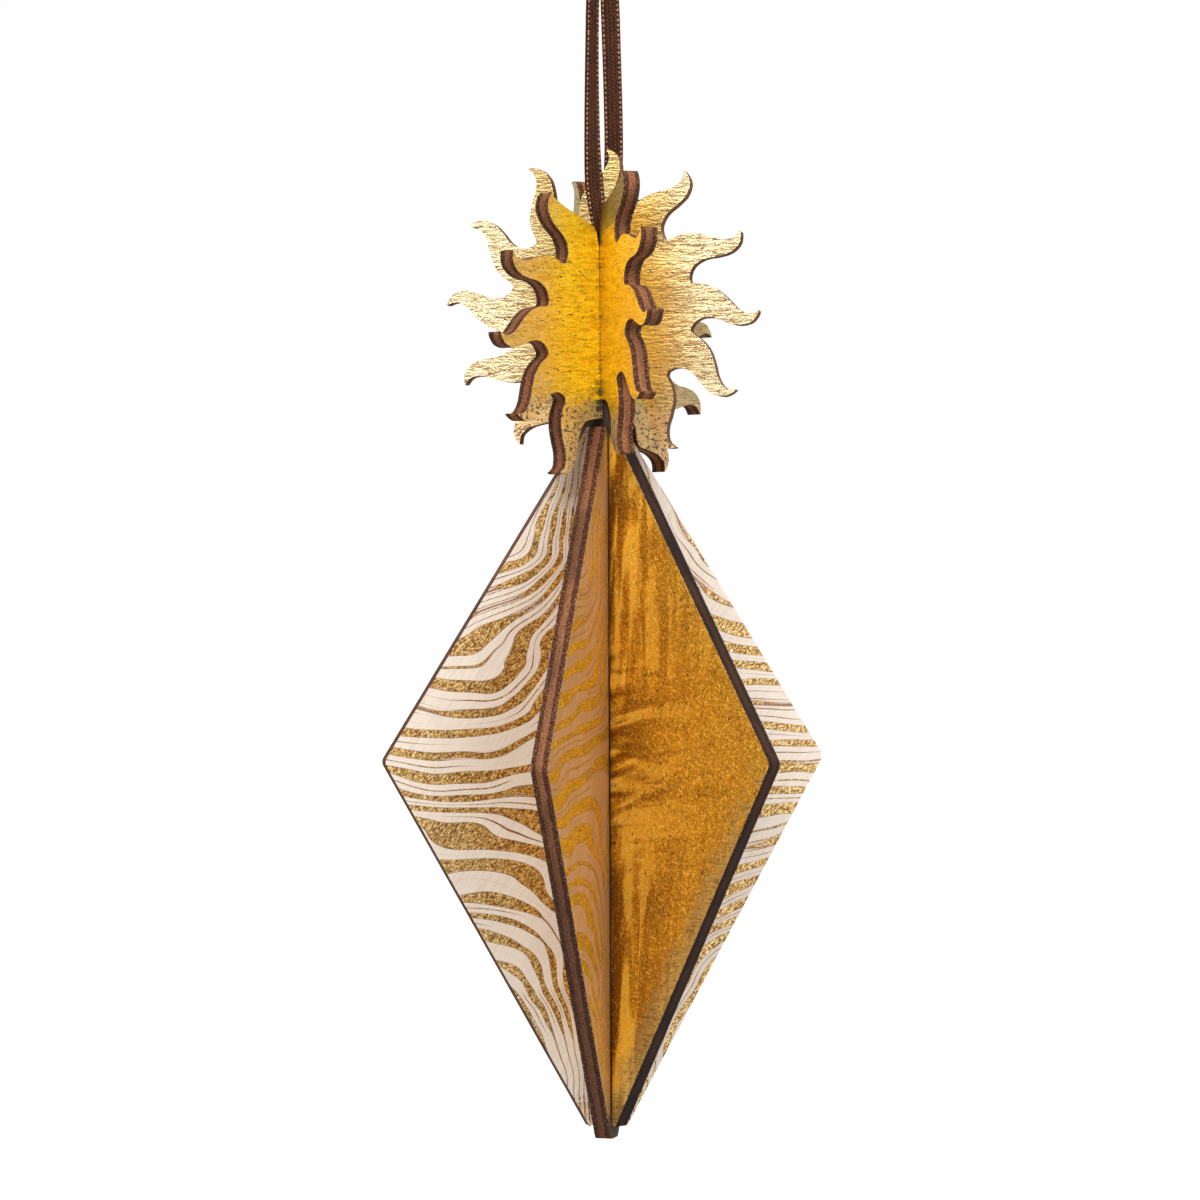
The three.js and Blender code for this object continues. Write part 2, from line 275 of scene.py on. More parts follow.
# The cut edge from the back of the sheet to its front, by share of the thickness
PLIES = [
    (0.00, (0.034, 0.015, 0.009)),
    (0.10, (0.072, 0.024, 0.011)),
    (0.25, (0.076, 0.023, 0.010)),
    (0.32, (0.245, 0.090, 0.038)),
    (0.64, (0.305, 0.116, 0.050)),
    (0.71, (0.068, 0.021, 0.009)),
    (0.90, (0.078, 0.026, 0.012)),
    (1.00, (0.032, 0.014, 0.008)),
]
EDGE_FLECK = (0.52, 0.25, 0.125)
EDGE_PIT = (0.030, 0.010, 0.005)
EDGE_CHAR = (0.018, 0.011, 0.010)
EDGE_ASH = (0.36, 0.25, 0.19)


# Looks of the plates; sizes are in mm, and a pair of them says where a change starts and is complete
# Numbers without a name are levels of a noise, strengths of a layer and shifts of a noise by its seed

SHEET = 2.9
OUTER_FOIL = (8.0, 19.0)
GATHERED_SHADE = (9.0, 1.0)
HALF_FACE = (0.5, -0.5)
CREVICE = (2.85, 2.6)
DULL_FADE = 2.0
DULL_FRAY = 7.0
# The arch patch is scorch and painted shadow under the sun's arch
ARCH_SCORCH_AND_SHADOW = (9.6, 9.0)
ARCH_FLECKS = 5.0
# Raggedness of the marks, and the fade of the scorch and painted shadow at the diamonds' tops
MARK_FRAY = 5.0
TOP_SCORCH_AND_SHADOW_FADE = 2.0
TIP_SCORCH_FADE = 4.0
SCUFFED_MARGIN = (2.0, -1.5)
KITE_HALF_WIDTH = 38.6
# The direction square to a lower sloping edge: inward, up
LOWER_EDGE_NORMAL = (0.864, 0.502)
GRAIN_PITCH = 6.25
# Reach of the extra painted shade along the axis
AXIS_SHADE_REACH = 4
FOLDS_REACH = 11
WAIST_REACH_SQUARED = 260
STRIPE_LIFT_REACH = 8
STRIPES_PER_MM = 0.27
EDGE_DARKER_LOW = (6.0, -24.0)
EDGE_BORDER = (1.0, 1.3)
SUN_RELIEF = 0.16
BACK_RELIEF = 0.085
STRIPE_RELIEF = 0.09
EDGE_RELIEF = 0.12
DASH_EDGE = 0.05


def dashes(look, length, width, cover, seed, turn=0.0):
    """Sparse short strokes, 1 on a stroke; cover is the share of the noise that makes strokes."""
    strokes = look.cloud((1 / length, 1, 1 / width), turn, (seed, 0, seed), detail=1.0)
    return look.step(strokes, 1 - cover, 1 - cover + DASH_EDGE)


def foil_colour(look, seed, foil, dips):
    mottle = look.cloud((0.10, 1, 0.22), 0, (seed, 0, 0), detail=3.0)
    aside = look.size(look.x)
    # On the sun's plates the near and far colours paint shade and reflected gold near the axis
    colour = look.mix(look.step(aside, *OUTER_FOIL), foil.inner, foil.outer)
    # Painted shade gathered along the axis
    colour = look.mix(look.step(aside, *GATHERED_SHADE, 0.0, foil.gathered), colour, foil.shade)
    colour = look.mix(look.step(mottle, 0.35, 0.65, 0.0, 0.25), colour, foil.shade)
    # Painted shade in the dips of the skin
    return look.mix(look.step(dips, 0.53, 0.40, 0.0, 0.75), colour, foil.shade)


def seam_shade(look, aside):
    """Painted shade in the seam along the axis, where the plates cross."""
    return look.step(aside, *CREVICE, 0.0, 0.85)


def sun_foil(name, seed, foil, dull_below, dark_arch_level):
    """Gold foil over open-grained wood: level ripples with painted shade in their dips, small cracks, dull
    low down, scorched at the arch and painted in shadow there.
    """
    look = Look(name, PLATE_COORDS)
    ripple = look.cloud((0.42, 1, 2.3), 0, (seed, 0, seed), detail=4.0, roughness=0.6, distortion=0.4)
    pebble = look.cloud((2.2, 1, 3.4), 0, (seed, 0, 0))
    skin = look.plus(look.times(ripple, 0.72), look.times(pebble, 0.28))
    fray = look.times(look.noise(look.coords, 0.9, 3.0), DULL_FRAY)
    dull = look.step(look.plus(look.z, fray), dull_below, dull_below - DULL_FADE)
    # The dark patch round the arch is scorch and painted shadow under the arch
    above_arch = look.minus(look.z, dark_arch_level)
    from_arch = look.math("SQRT", look.plus(look.square(look.x), look.square(above_arch)))
    flecks = look.times(look.noise(look.coords, 2.6), ARCH_FLECKS)
    scorch_and_shade = look.step(look.plus(look.plus(from_arch, fray), flecks), *ARCH_SCORCH_AND_SHADOW, 0.0, 0.95)
    specks = look.cloud((1.7, 1, 2.3), 20, (0, 0, seed))
    long_cracks = dashes(look, 1.5, 0.28, 0.32, seed + 3)
    short_cracks = dashes(look, 0.7, 0.3, 0.30, seed + 11, 18)
    pits = look.times(dull, look.step(specks, 0.56, 0.62))
    cracks = look.most(look.most(long_cracks, short_cracks), pits)
    colour = foil_colour(look, seed, foil, skin)
    if foil in HALF_FACE_FOILS:
        other_half = foil_colour(look, seed, WARM_FOIL, skin)
        colour = look.mix(look.step(look.x, *HALF_FACE), colour, other_half)
    # Tan and speckled low down
    low_tone = look.times(dull, look.step(specks, 0.36, 0.48, 0.3, 0.85))
    colour = look.mix(low_tone, colour, FOIL_DULL)
    colour = look.mix(cracks, colour, FOIL_CRACK)
    colour = look.mix(scorch_and_shade, colour, SCORCH_AND_SHADOW)
    roughened = look.times(look.most(dull, look.times(scorch_and_shade, 2.0)), 0.2)
    return look.finish(
        {
            "Base Color": colour,
            "Metallic": look.step(look.most(cracks, scorch_and_shade), 0.0, 1.0, foil.metal, 0.1),
            "Roughness": look.plus(look.step(ripple, 0.3, 0.7, 0.18, 0.27), roughened),
            "Coat Weight": look.step(scorch_and_shade, 0.0, 0.6, 0.4, 0.0),
            "Coat Roughness": 0.3,
            "Normal": look.bump(skin, SUN_RELIEF),
        }
    )


def grain_lines(look, seed):
    """Faint broken lines of the wood under the foil."""
    bend = look.times(look.cloud((0.035, 1, 0.03), 25, detail=1.0), 3.0)
    place = look.plus(look.times(look.z, 1 / GRAIN_PITCH), bend)
    off_line = look.size(look.minus(look.math("FRACT", place), 0.5))
    broken = look.cloud((0.12, 1, 0.12), 0, (0, 0, seed), detail=1.0)
    return look.times(look.step(off_line, 0.012, 0.004), look.step(broken, 0.5, 0.6))


def lower_scuff(look, aside, fray):
    """Ragged wear along the lower sloping edges."""
    inward, upward = LOWER_EDGE_NORMAL
    from_side = look.times(look.minus(KITE_HALF_WIDTH, aside), inward)
    margin = look.plus(from_side, look.times(look.z, upward))
    rubbed = look.step(look.minus(margin, fray), *SCUFFED_MARGIN)
    patches = look.step(look.minus(fray, look.times(look.z, 0.1)), 2.6, 4.2)
    return look.times(rubbed, patches)


def gleam_and_shade_folds(look, seed, aside):
    """Folds of painted gleam and shade that stand along the axis and lie level at the waist, lower close to
    the axis, where they paint more shade.
    """
    upright = look.cloud((0.30, 1, 0.04), 4, (seed, 0, 1), distortion=0.7)
    level = look.cloud((0.06, 1, 0.34), -8, (seed, 0, 3), distortion=0.7)
    waist = look.fading(look.square(look.z), WAIST_REACH_SQUARED)
    folds = look.plus(look.times(upright, look.minus(1.0, waist)), look.times(level, waist))
    return look.minus(folds, look.times(look.fading(aside, AXIS_SHADE_REACH), 0.11))


def back_foil(name, seed, scorch_and_shadow_above):
    """Smooth gold foil with an orange-peel skin, folds along the axis with painted gleam and shade, painted
    glints, cracks and faint grain lines.
    """
    look = Look(name, PLATE_COORDS)
    aside = look.size(look.x)
    peel = look.cloud((2.3, 1, 3.6), 35, (seed, 0, 0), detail=3.0, roughness=0.7)
    sway = look.cloud((0.06, 1, 0.12), 0, (seed, 0, 5))
    fray = look.times(look.noise(look.coords, 0.5, 3.0), MARK_FRAY)
    scuff = lower_scuff(look, aside, fray)
    cracks = dashes(look, 1.2, 0.22, 0.335, seed + 2, -60)
    scratches = look.times(dashes(look, 1.8, 0.22, 0.42, seed + 5), look.times(scuff, 0.55))
    marks = look.most(look.most(cracks, scratches), look.times(grain_lines(look, seed), 0.75))
    # At the top, scorch and painted shadow under the sun's arch
    scorch_and_shade = look.step(look.plus(look.z, fray), scorch_and_shadow_above, scorch_and_shadow_above + TOP_SCORCH_AND_SHADOW_FADE)
    # Painted shade in the seam along the axis joins it
    burnt_and_shaded = look.most(scorch_and_shade, seam_shade(look, aside))
    folds = gleam_and_shade_folds(look, seed, aside)
    near_axis = look.fading(aside, FOLDS_REACH)
    # Painted reflection in the folds near the axis: gleam on them and shade between, and painted glints on
    # the skin
    gleam = look.times(look.step(folds, 0.48, 0.58, 0.0, 1.5), near_axis)
    fold_shade = look.times(look.step(folds, 0.52, 0.40, 0.0, 1.3), near_axis)
    sparkle = look.step(peel, 0.55, 0.66)
    bright = look.most(gleam, look.times(sparkle, 0.7))
    glints = look.times(sparkle, look.step(gleam, 0.1, 0.6, 0.3, 0.9))
    colour = look.mix(bright, foil_colour(look, seed, BACK_FOIL, peel), FOIL_GLEAM)
    colour = look.mix(fold_shade, colour, FOIL_FOLD_SHADE)
    colour = look.mix(glints, colour, FOIL_GLINT)
    colour = look.mix(look.times(scuff, 0.55), colour, FOIL_SCUFF)
    colour = look.mix(marks, colour, FOIL_CRACK)
    colour = look.mix(burnt_and_shaded, colour, SCORCH_AND_SHADOW)
    metal = look.step(bright, 0.0, 1.0, BACK_FOIL.metal, 0.3)
    worn = look.most(look.times(burnt_and_shaded, 0.8), look.times(scuff, 0.42))
    return look.finish(
        {
            "Base Color": colour,
            "Metallic": look.times(metal, look.minus(1.0, burnt_and_shaded)),
            "Roughness": look.most(look.step(sway, 0.3, 0.7, 0.10, 0.20), worn),
            "Normal": look.bump(look.plus(peel, look.times(sway, 3.0)), BACK_RELIEF),
        }
    )


def wavy_stripes(look, seed, aside):
    """How far inside a stripe a place is, below 0 outside; stripes are level but stand up along the axis."""
    lift = look.times(look.times(look.z, look.fading(aside, STRIPE_LIFT_REACH)), 1.15)
    level = look.times(look.minus(look.z, lift), STRIPES_PER_MM)
    sway = look.cloud((0.035, 1, 0.05), 8, (seed, 0, seed), detail=1.5, roughness=0.4, distortion=0.3)
    crowd = look.cloud((0.012, 1, 0.085), -4, (0, 0, seed + 2), detail=1.0)
    phase = look.plus(look.plus(level, look.times(sway, 4.0)), look.times(crowd, 2.6))
    fullness = look.cloud((0.05, 1, 0.16), -6, (0, 0, seed + 4), detail=1.0)
    broad = look.minus(look.wave(phase, 1), look.step(fullness, 0.33, 0.64, 0.95, -0.25))
    hairy = look.cloud((0.04, 1, 0.09), 0, (seed, 0, 9), detail=1.0)
    hairlines = look.minus(look.wave(phase, 1 / 3), look.step(hairy, 0.42, 0.62, 1.05, 0.86))
    return look.most(broad, hairlines)


def striped_wood(name, seed, birch, scorch_below, scorch_and_shadow_above):
    """Birch with wavy gold stripes that have a thin brown outline, scorched at the ends, with painted shadow
    at the top under the sun's arch.
    """
    look = Look(name, PLATE_COORDS)
    aside = look.size(look.x)
    inside = wavy_stripes(look, seed, aside)
    gold = look.step(inside, 0.0, 0.06)
    outline = look.times(look.step(inside, -0.08, 0.0), look.step(inside, 0.14, 0.05))
    flake = look.cloud((2.3, 1, 4.8), 42, (seed, 0, 0), detail=3.0, roughness=0.65)
    pores = look.cloud((0.22, 1, 3.2), 58, (0, 0, seed), detail=3.0, roughness=0.6)
    blush = look.cloud((0.05, 1, 0.05), 0, (seed, 0, 2), detail=1.0)
    wood = look.mix(look.step(pores, 0.38, 0.72), birch.pale, birch.dark)
    wood = look.mix(look.step(blush, 0.45, 0.75, 0.0, 0.5), wood, birch.dark)
    colour = look.mix(gold, wood, look.ramp(flake, list(zip(FLAKE_STOPS, birch.flakes))))
    colour = look.mix(look.times(outline, 0.75), colour, STRIPE_OUTLINE)
    ragged = look.plus(look.z, look.times(look.noise(look.coords, 0.5, 3.0), MARK_FRAY))
    # Scorch at the lower tip; at the top, scorch and painted shadow under the sun's arch
    scorch_and_shade = look.most(
        look.step(ragged, scorch_below + TIP_SCORCH_FADE, scorch_below),
        look.step(ragged, scorch_and_shadow_above, scorch_and_shadow_above + TOP_SCORCH_AND_SHADOW_FADE),
    )
    # Painted shade in the seam along the axis
    scorch_and_shade = look.most(scorch_and_shade, seam_shade(look, aside))
    colour = look.mix(scorch_and_shade, colour, SCORCH_AND_SHADOW)
    clean_gold = look.times(gold, look.minus(1.0, scorch_and_shade))
    relief = look.plus(look.times(flake, clean_gold), look.times(pores, 0.15))
    return look.finish(
        {
            "Base Color": colour,
            "Metallic": look.times(clean_gold, birch.metal),
            "Roughness": look.step(clean_gold, 0.0, 1.0, 0.62, 0.32),
            "Specular IOR Level": 0.25,
            "Normal": look.bump(relief, STRIPE_RELIEF),
        }
    )


def cut_edge(name, seed, char, low_darkening):
    """Laser-cut edge of three-ply sheet: dark outer plies, a redder speckled core, strokes of the beam."""
    look = Look(name, PLATE_COORDS)
    waver = look.cloud((0.35, 0.2, 0.35), 0, (seed, 0, 0))
    across = look.plus(look.y, look.times(look.minus(waver, 0.5), 0.5))
    plies = look.ramp(look.plus(look.times(across, 1 / SHEET), 0.5), PLIES)
    speckle = look.cloud((3.6, 3.6, 3.6), 0, (seed, 0, seed), detail=3.0, roughness=0.65)
    strokes = look.cloud((4.0, 0.35, 4.0), 0, (0, seed, 0))
    burn = look.cloud((0.10, 0.3, 0.10), 0, (seed, 1, 3))
    chips = look.cloud((2.4, 2.4, 2.4), 0, (0, seed, 4), detail=3.0, roughness=0.7)
    colour = look.mix(look.step(speckle, 0.52, 0.66, 0.0, 0.6), plies, EDGE_FLECK)
    colour = look.mix(look.step(speckle, 0.46, 0.34, 0.0, 0.8), colour, EDGE_PIT)
    charred = look.step(burn, 0.40, 0.66, max(char - 0.12, 0.0), min(char + 0.25, 0.97))
    # Edges darker low down
    charred = look.most(charred, look.step(look.z, *EDGE_DARKER_LOW, 0.0, low_darkening))
    colour = look.mix(charred, colour, EDGE_CHAR)
    border = look.step(look.size(look.y), *EDGE_BORDER, 0.0, 0.75)
    colour = look.mix(look.times(border, look.step(chips, 0.54, 0.64)), colour, EDGE_ASH)
    return look.finish(
        {
            "Base Color": colour,
            "Roughness": look.step(speckle, 0.3, 0.7, 0.65, 0.9),
            "Specular IOR Level": 0.12,
            "Normal": look.bump(look.plus(strokes, look.times(speckle, 0.5)), EDGE_RELIEF),
        }
    )


# Plates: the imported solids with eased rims, and their own coordinates for the looks

WELD = 1e-6
STRAIGHT = math.radians(0.1)
RIM = 0.13 * MM
RIM_SEGMENTS = 2
ROUND = 0.5
SLOT_WALL = (2.78 * MM, 2.90 * MM)
SLOT_SNUG = 0.25 * MM
SQUARE_ON = 0.99
SLOT_SQUARE_ON = 0.999
FACE_LEAN = 0.3
BACK_SHIFT = 7
FAR = 500.0
SUN_PLATES = [
    # node, turn about the vertical, height of its own centre, seed, char of its edges,
    # foils of its front and back, dull below, level round which it is scorched and painted in shadow
    ("sun_hanging_plate", 0.0, -62.0, 1.0, 0.15, SOFT_FOIL, WARM_FOIL, -13.0, -FAR),
    ("sun_middle_plate", -60.0, -63.2, 21.0, 0.05, DEEP_FOIL, WARM_FOIL, -13.0, -13.5),
    ("sun_seat_plate", -120.0, -66.5, 43.0, 0.05, WARM_FOIL, RICH_FOIL, -7.0, -12.5),
]
DIAMOND_CENTRE = -139.175
DIAMOND_PLATES = [
    # node, turn about the vertical, seed, char of its edges, how much darker these get low down, birch,
    # scorched below, scorched and painted in shadow above
    ("diamond_top_plate", 147.5, 5.0, 0.97, 0.0, PALE_BIRCH, -FAR, 56.0),
    ("diamond_middle_plate", 26.5, 31.0, 0.40, 0.0, PALE_BIRCH, -FAR, FAR),
    ("diamond_bottom_plate", 85.5, 57.0, 0.25, 0.6, GOLD_LIT_BIRCH, -60.0, 57.5),
]


def snug_slots(shape, sideways):
    """Moves the walls of the slots inwards, so that the seams stay closed."""
    walls = [
        face
        for face in shape.faces
        if abs(face.normal.dot(sideways)) > SLOT_SQUARE_ON
        and SLOT_WALL[0] < abs(face.calc_center_median().dot(sideways)) < SLOT_WALL[1]
    ]
    for vertex in {vertex for face in walls for vertex in face.verts}:
        vertex.co -= sideways * math.copysign(SLOT_SNUG, vertex.co.dot(sideways))


def ease_rims(shape, forward):
    """Rounds the edges between the two faces of the sheet and its cut edge."""
    flat = {face for face in shape.faces if abs(face.normal.dot(forward)) > SQUARE_ON}
    rims = [
        edge
        for edge in shape.edges
        if len([face for face in edge.link_faces if face in flat]) == 1
    ]
    bmesh.ops.bevel(
        shape,
        geom=rims,
        offset=RIM,
        segments=RIM_SEGMENTS,
        profile=ROUND,
        affect="EDGES",
        clamp_overlap=True,
    )
    bmesh.ops.recalc_face_normals(shape, faces=shape.faces)


def plate_piece(node, turn, centre, materials):
    """The plate of a node; its materials are those of the front, the back and the cut edge."""
    angle = math.radians(turn)
    forward = Vector((math.sin(angle), -math.cos(angle), 0))
    sideways = Vector((math.cos(angle), math.sin(angle), 0))
    shape = bmesh.new()
    shape.from_mesh(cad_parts[node].data)
    bmesh.ops.remove_doubles(shape, verts=shape.verts, dist=WELD)
    bmesh.ops.dissolve_limit(shape, angle_limit=STRAIGHT, verts=shape.verts, edges=shape.edges)
    snug_slots(shape, sideways)
    ease_rims(shape, forward)
    for face in shape.faces:
        facing = face.normal.dot(forward)
        face.material_index = 0 if facing > FACE_LEAN else 1 if facing < -FACE_LEAN else 2
        face.smooth = abs(facing) < SQUARE_ON
    mesh = bpy.data.meshes.new(node + "_cut")
    shape.to_mesh(mesh)
    shape.free()
    for material in materials:
        mesh.materials.append(material)
    coords = mesh.attributes.new(PLATE_COORDS, "FLOAT_VECTOR", "POINT")
    for vertex, value in zip(mesh.vertices, coords.data):
        value.vector = (
            vertex.co.dot(sideways) / MM,
            vertex.co.dot(forward) / MM,
            vertex.co.z / MM - centre,
        )
    piece = bpy.data.objects.new(node + "_cut", mesh)
    scene.collection.objects.link(piece)
    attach(piece, "bauble")
    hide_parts(node)
    return piece


for node, turn, centre, seed, char, front_foil, rear_foil, dull_below, dark_arch_level in SUN_PLATES:
    looks = [
        sun_foil(node + "_front", seed, front_foil, dull_below, dark_arch_level),
        sun_foil(node + "_back", seed + BACK_SHIFT, rear_foil, dull_below, dark_arch_level),
        cut_edge(node + "_edge", seed, char, 0.0),
    ]
    plate_piece(node, turn, centre, looks)

for node, turn, seed, char, low_darkening, birch, scorch_below, scorch_and_shadow_above in DIAMOND_PLATES:
    looks = [
        striped_wood(node + "_front", seed, birch, scorch_below, scorch_and_shadow_above),
        back_foil(node + "_back", seed, scorch_and_shadow_above),
        cut_edge(node + "_edge", seed, char, low_darkening),
    ]
    plate_piece(node, turn, DIAMOND_CENTRE, looks)


# Ribbon: two strands that meet in the hole, each a woven band with stitched edges; sizes are in mm

SUN_CENTRE = -62.0
BIGHT = 12.152
FACE_OFFSET = 2.0
HALF_GAP = 0.15
GATHERED = 2.404
RIBBON_WIDTH = 3.2
RIBBON_THICKNESS = 0.5
BIGHT_BEND = [(1, 0), (0.35, 0.1), (0, 0.45)]
FRONT_ROUTE = [
    # sideways, out from the plate, share of the rise, width, turn of the width
    (-0.2, 0.1, 0.04, 2.5, 8),
    (-0.6, 0.3, 0.1, 2.8, 20),
    (-1, 0.5, 0.18, 3.2, 34),
    (-1.2, 0.65, 0.3, 3.2, 46),
    (-1.3, 0.45, 0.46, 3.2, 54),
    (-1.3, 0.15, 0.64, 3.2, 60),
    (-1.2, -0.2, 0.82, 3.2, 62),
    (-1, -0.7, 1, 2.8, 60),
]
REAR_ROUTE = [
    (0.3, 0.1, 0.04, 2.5, 0),
    (0.8, 0.3, 0.1, 2.8, 3),
    (1.2, 0.5, 0.18, 3.2, 7),
    (1.45, 0.65, 0.3, 3.2, 11),
    (1.4, 0.5, 0.46, 3.2, 11),
    (1.25, 0.15, 0.64, 3.2, 11),
    (1.05, -0.2, 0.82, 3.2, 11),
    (0.8, -0.7, 1, 2.8, 11),
]
TAIL_ROUTE = [
    # sideways, forwards, up from the knot's top, turn of the width
    (0.9, 0, -1.6, 90),
    (1.6, 0.2, 1.2, 82),
    (3.2, 0.5, 4.2, 60),
    (5.8, 0.9, 6.4, 40),
    (8.8, 1.3, 7.2, 28),
]
# Shares of the last station's place and width that are left inside the knot
SUNK_X = 0.75
SUNK_Y = 0.8
SUNK_WIDTH = 0.8
KNOT_LOW = 0.3
KNOT_SINK = 1.4
KNOT_HEIGHT = 5.6
KNOT_RADIUS = 3.2
# The knot's lump: share of its radius, share of its height
KNOT_PROFILE = [(0.84, 0.0), (0.93, 0.13), (0.93, 0.42), (0.86, 0.68), (0.62, 0.9)]
KNOT_CROWN = 0.98
KNOT_SIDES = 36
PLEATS = 7
PLEAT_SLANT = 9
PLEAT_DEPTH = 0.035
WRAPS = [
    # tilt, towards which side, up from the knot's middle, share of its radius
    (24, 20, 0.35, 0.98),
    (-22, 150, -0.25, 1.0),
    (8, 265, 0.1, 1.04),
]
WRAP_SIDES = 48
WRAP_HALF_WIDTH = 1.25
WRAP_THICKNESS = 0.35
WRAP_HOLLOW = 0.35
# Sections of a wrap and of the band: share of the half width, share of the thickness or of half of it
WRAP_SECTION = [
    (-1.0, -0.2), (-0.85, 0.6), (-0.4, 0.95), (0.0, 1.0), (0.4, 0.95), (0.85, 0.6), (1.0, -0.2), (0.0, -0.4),
]
BAND_SECTION = [
    (1.0, -0.45), (1.0, 0.45), (0.93, 0.9), (0.80, 1.0), (0.66, 0.72), (0.3, 0.66), (0.0, 0.7),
    (-0.3, 0.66), (-0.66, 0.72), (-0.80, 1.0), (-0.93, 0.9), (-1.0, 0.45), (-1.0, -0.45),
    (-0.93, -0.9), (-0.80, -1.0), (-0.66, -0.72), (-0.3, -0.66), (0.0, -0.7),
    (0.3, -0.66), (0.66, -0.72), (0.80, -1.0), (0.93, -0.9),
]
BAND_STEP = 0.42
CUT_END_THIN = 0.6
STITCH_PITCH = 0.84
STITCH_ROUND = 6
STITCH_LENGTH = 0.30
STITCH_WIDTH = 0.24
STITCH_HEIGHT = 0.16
STITCH_ASIDE = 0.78
STITCH_SEAT = 0.42
# A stitch: share of its height, share of its girth
STITCH_PROFILE = [(0.0, 1.0), (0.6, 0.8), (1.0, 0.0)]
STATIONS_PER_PATH_POINT = 4

Station = namedtuple("Station", "x y z width turn")
Section = namedtuple("Section", "place along across out way half_width")


def place_of(station):
    return Vector((station.x, station.y, station.z))


def strand_stations(side, route):
    """Stations of one strand, from the hole up into the knot."""
    hole = SUN_CENTRE + BIGHT
    stations = [Station(0, side * HALF_GAP, hole, GATHERED, 0)]
    for inward, rise in BIGHT_BEND:
        stations.append(Station(0, side * (FACE_OFFSET - inward), hole + rise, GATHERED, 0))
    for x, out, share, width, turn in route:
        stations.append(Station(x, side * (FACE_OFFSET + out), hole - share * hole, width, turn))
    top = stations[-1]
    stations.append(Station(SUNK_X * top.x, SUNK_Y * top.y, KNOT_SINK, SUNK_WIDTH * top.width, top.turn))
    return stations


def tail_stations(side):
    """Stations of one cut end, up out of the knot."""
    return [
        Station(side * x, side * y, KNOT_LOW + KNOT_HEIGHT + up, RIBBON_WIDTH, side * turn)
        for x, y, up, turn in TAIL_ROUTE
    ]


def smooth_run(stations):
    """More stations on a smooth run through the given ones, about BAND_STEP apart."""
    places = [place_of(station) for station in stations]
    reach = [0.0]
    for before, after in zip(places, places[1:]):
        reach.append(reach[-1] + (after - before).length)
    last = len(stations) - 1

    def slope(index, item):
        low, high = max(index - 1, 0), min(index + 1, last)
        return (stations[high][item] - stations[low][item]) / (reach[high] - reach[low])

    run = []
    for index in range(last):
        span = reach[index + 1] - reach[index]
        count = max(1, round(span / BAND_STEP))
        for part in range(count):
            t = part / count
            values = [
                (2 * t**3 - 3 * t**2 + 1) * stations[index][item]
                + (t**3 - 2 * t**2 + t) * span * slope(index, item)
                + (3 * t**2 - 2 * t**3) * stations[index + 1][item]
                + (t**3 - t**2) * span * slope(index + 1, item)
                for item in range(len(Station._fields))
            ]
            run.append(Station(*values))
    run.append(stations[last])
    return run


def band_sections(run):
    """For each station: place, directions along, across and out of the band, way so far, half the width."""
    places = [place_of(station) for station in run]
    sections = []
    way = 0.0
    for index, (station, place) in enumerate(zip(run, places)):
        before = places[max(index - 1, 0)]
        after = places[min(index + 1, len(places) - 1)]
        along = (after - before).normalized()
        turn = math.radians(station.turn)
        across = Vector((math.cos(turn), math.sin(turn), 0))
        across = (across - along * across.dot(along)).normalized()
        if index:
            way += (place - places[index - 1]).length
        sections.append(Section(place, along, across, along.cross(across), way, station.width / 2))
    return sections


